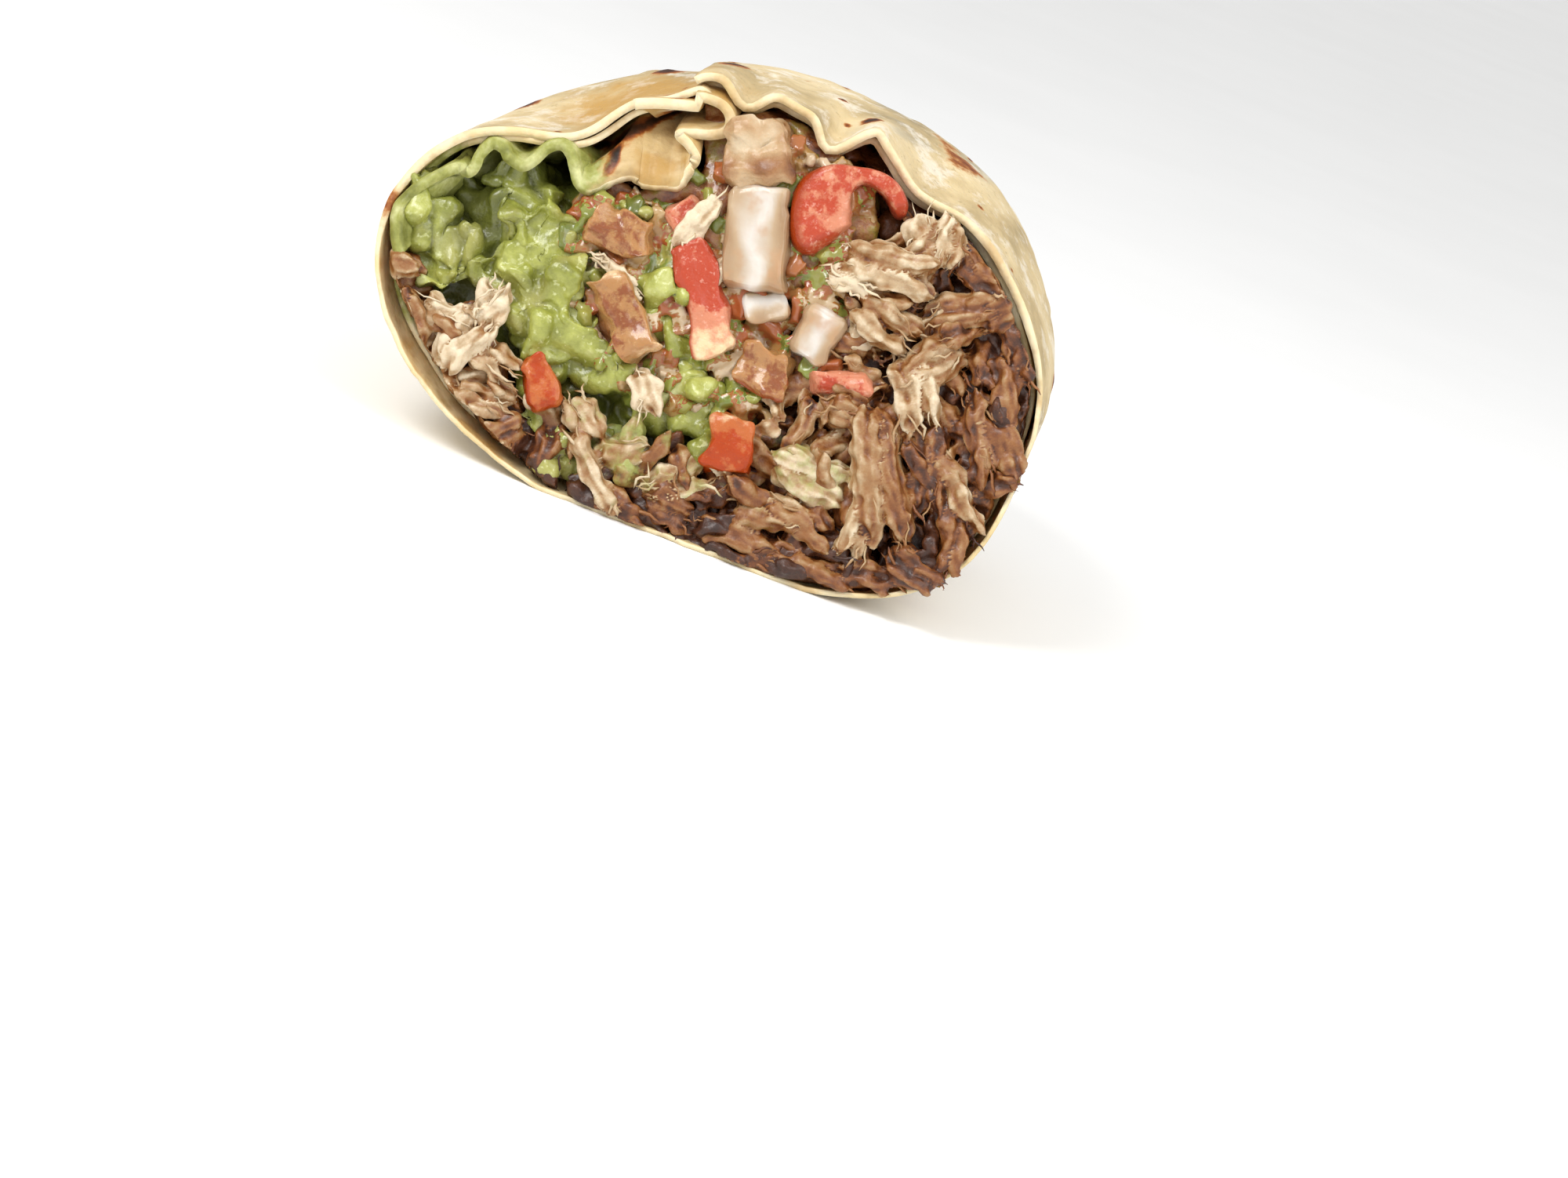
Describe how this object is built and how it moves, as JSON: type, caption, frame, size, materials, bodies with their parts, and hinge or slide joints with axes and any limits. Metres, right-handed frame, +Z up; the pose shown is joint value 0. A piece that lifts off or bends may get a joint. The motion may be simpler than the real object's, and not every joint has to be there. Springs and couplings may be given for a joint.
{
  "type": "burrito half",
  "caption": "Half of a flour-tortilla burrito lying on its side, cut on the bias to show ruffled tortilla, guacamole, tomato salsa, onion and shredded meat.",
  "frame": {"origin": "on the floor under the middle of the half", "axes": "+X along the width of the cut face, to the right as the cut is looked at, +Y from the cut to the closed end, +Z up"},
  "size_m": [0.088, 0.0766, 0.0575],
  "materials": {
    "tortilla": "griddled flour tortilla, floury and matt, with brown char spots",
    "shredded_meat": "moist shredded meat, grey-brown with browned edges",
    "meat": "moist pale cooked meat with browned edges",
    "guacamole": "wet, smooth avocado paste",
    "salsa": "wet tomato and onion salsa",
    "tomato": "wet diced tomato",
    "onion": "wet, slightly clear diced onion"
  },
  "bodies": {
    "root": {"tortilla": "tortilla", "shredded_meat": "shredded_meat", "guacamole": "guacamole", "pico_de_gallo": "salsa", "meat_cube": "meat", "meat_slab": "meat", "meat_strip": "meat", "onion_wedge": "onion", "onion_dice": "onion", "onion_end": "onion", "tomato_wedge": "tomato", "tomato_long": "tomato", "tomato_pale": "tomato", "tomato_chunk": "tomato", "tomato_bit": "tomato", "tomato_dice": "tomato", "tomato_seeded": "tomato", "tomato_slice": "tomato", "tomato_corner": "tomato"}
  },
  "joints": []
}
